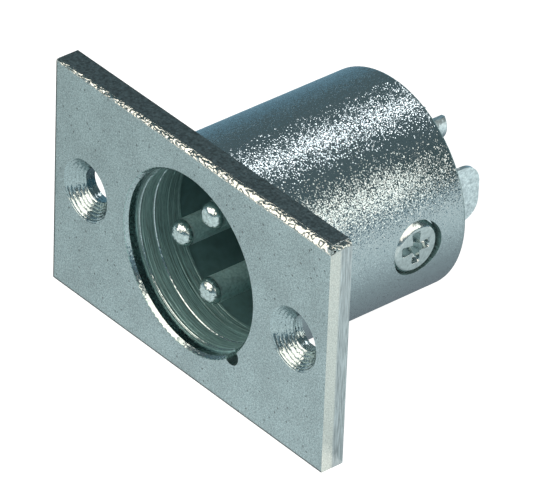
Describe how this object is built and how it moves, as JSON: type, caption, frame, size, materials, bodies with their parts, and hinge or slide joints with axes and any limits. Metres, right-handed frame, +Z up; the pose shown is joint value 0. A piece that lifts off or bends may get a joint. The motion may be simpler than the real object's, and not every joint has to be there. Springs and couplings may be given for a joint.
{
  "type": "panel-mount xlr receptacle",
  "caption": "Panel-mount audio receptacle: rectangular plate with countersunk holes, round metal barrel, recessed male contacts in front and solder cups behind.",
  "frame": {"origin": "centre of the barrel in the plate's rear face, which seats on the panel", "axes": "+X along the plate towards the side screw, +Y along the barrel to the rear, +Z up"},
  "size_m": [0.0358, 0.027, 0.0222],
  "materials": {
    "satin_nickel": "satin nickel plate over die-cast zinc, coarse on the barrel and fine on the plate",
    "black_moulding": "matte black thermoplastic moulding",
    "silver_plate": "silver plate over turned brass",
    "tinned_brass": "bright tin over stamped brass sheet",
    "nickel_steel": "nickel-plated steel screw"
  },
  "bodies": {
    "root": {"shell": "satin_nickel", "insulator": "black_moulding", "contact_upper": "silver_plate", "contact_left": "silver_plate", "contact_lower": "silver_plate", "ground_tag": "tinned_brass", "insert_screw": "nickel_steel"}
  },
  "joints": []
}
